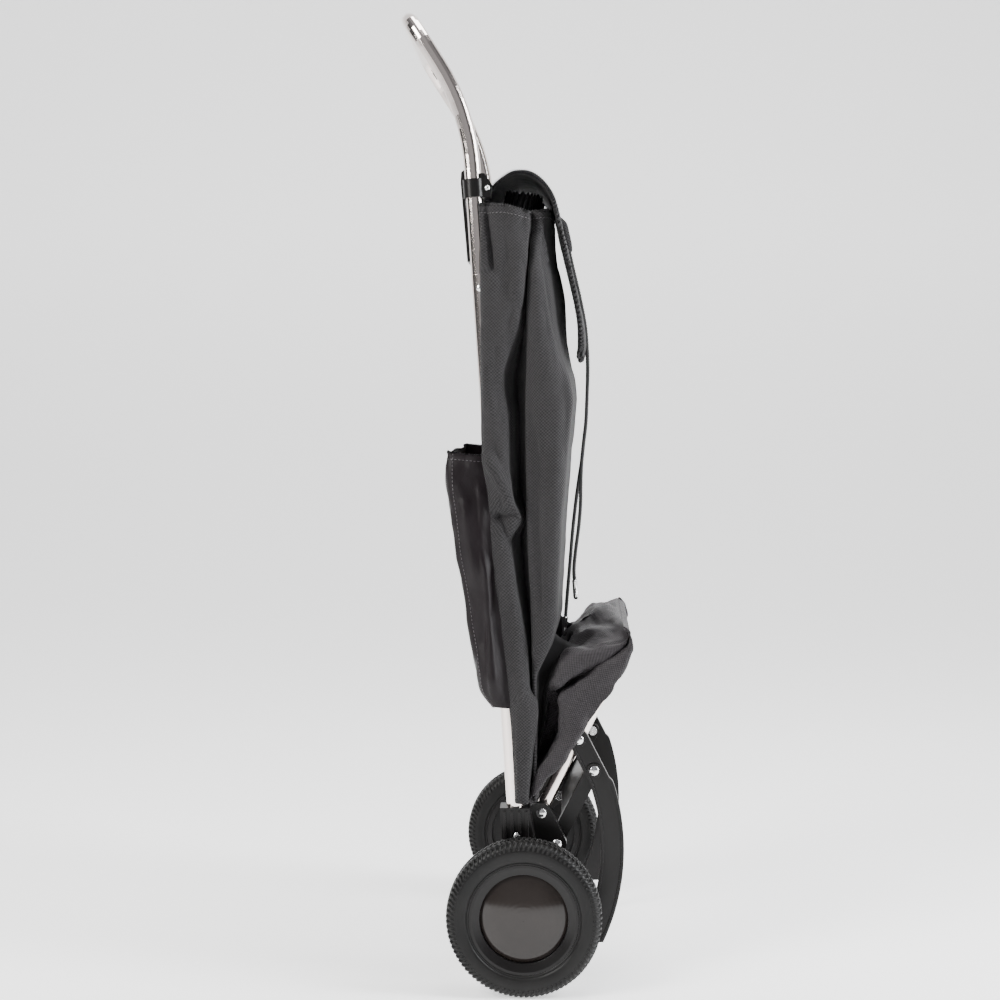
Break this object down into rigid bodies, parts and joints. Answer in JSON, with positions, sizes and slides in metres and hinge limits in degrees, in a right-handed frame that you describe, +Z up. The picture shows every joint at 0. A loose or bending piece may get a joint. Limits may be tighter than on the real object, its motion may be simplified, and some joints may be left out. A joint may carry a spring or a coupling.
{
  "type": "folding shopping trolley",
  "caption": "Two-wheeled folding shopping trolley: bent tube frame and handle, cloth bag with flap, drawstring and rear pocket, and a fold-out shelf with feet.",
  "frame": {"origin": "on the floor, under the middle of the folded trolley", "axes": "+Z up; +X forward, from the handle towards the flap and the shelf; +Y to the left wheel"},
  "size_m": [0.25, 0.4, 1.057],
  "materials": {
    "aluminium_tube": "polished",
    "steel": "satin",
    "black_plastic": "satin",
    "gloss_plastic": "gloss",
    "nylon": "satin",
    "tyre_rubber": "matte",
    "bag_cloth": "woven",
    "pocket_nylon": "smooth coated",
    "board": "raw",
    "drawstring": "braided"
  },
  "bodies": {
    "frame": {"right_side_tube": "aluminium_tube", "left_side_tube": "aluminium_tube", "right_tube_spigot": "black_plastic", "left_tube_spigot": "black_plastic", "handle_bow": "aluminium_tube", "tube_rivets": "steel", "upper_crossbar": "aluminium_tube", "hanging_hook": "black_plastic", "lower_crossbar": "aluminium_tube", "right_bracket": "black_plastic", "left_bracket": "black_plastic", "bracket_screws": "steel", "axle": "steel", "axle_spacers": "black_plastic", "axle_nuts": "steel", "shelf_pivot_rivets": "steel", "strut_pivot_rivets": "steel", "shelf_pivot_washers": "nylon", "strut_pivot_washers": "nylon", "bag_body": "bag_cloth", "rear_pocket": "pocket_nylon", "bag_clips": "black_plastic", "clip_rivets": "steel"},
    "right_wheel": {"right_tyre": "tyre_rubber", "right_rim": "black_plastic", "right_hubcap": "gloss_plastic", "right_bush": "nylon"},
    "left_wheel": {"left_tyre": "tyre_rubber", "left_rim": "black_plastic", "left_hubcap": "gloss_plastic", "left_bush": "nylon"},
    "shelf": {"shelf_tube": "aluminium_tube", "base_board": "board", "bag_base": "bag_cloth", "leg_pivot_rivets": "steel", "leg_pivot_washers": "nylon"},
    "right_leg_body": {"right_leg": "black_plastic"},
    "left_leg_body": {"left_leg": "black_plastic"},
    "strut": {"strut_panel": "black_plastic", "link_pivot_rivets": "steel", "link_pivot_washers": "nylon"},
    "flap_body": {"flap": "bag_cloth", "cord_tab": "bag_cloth", "long_cord": "drawstring", "short_cord": "drawstring", "long_cord_tip": "steel", "short_cord_tip": "steel"}
  },
  "joints": [
    {"name": "right_wheel_spin", "type": "hinge", "parent": "frame", "child": "right_wheel", "pos_m": [0.01332, -0.184, 0.0825], "axis": [0, 1, 0], "continuous": true},
    {"name": "left_wheel_spin", "type": "hinge", "parent": "frame", "child": "left_wheel", "pos_m": [0.01332, 0.184, 0.0825], "axis": [0, 1, 0], "continuous": true},
    {"name": "shelf_fold", "type": "hinge", "parent": "frame", "child": "shelf", "pos_m": [0.03032, 0, 0.1796], "axis": [0, 1, 0], "range_deg": [0, 36]},
    {"name": "right_leg_pivot", "type": "hinge", "parent": "shelf", "child": "right_leg_body", "pos_m": [0.07082, -0.123, 0.25908], "axis": [0, 1, 0], "range_deg": [-36, 0]},
    {"name": "left_leg_pivot", "type": "hinge", "parent": "shelf", "child": "left_leg_body", "pos_m": [0.07082, 0.123, 0.25908], "axis": [0, 1, 0], "range_deg": [-36, 0]},
    {"name": "strut_pivot", "type": "hinge", "parent": "frame", "child": "strut", "pos_m": [0.04702, 0, 0.1461], "axis": [0, 1, 0], "range_deg": [0, 36]},
    {"name": "flap_lift", "type": "hinge", "parent": "frame", "child": "flap_body", "pos_m": [-0.01068, 0, 0.8725], "axis": [0, 1, 0], "range_deg": [-120, 0]}
  ],
  "couplings": [
    {"joint": "right_leg_pivot", "follows": "shelf_fold", "ratio": -1},
    {"joint": "left_leg_pivot", "follows": "shelf_fold", "ratio": -1},
    {"joint": "strut_pivot", "follows": "shelf_fold", "ratio": 1}
  ]
}
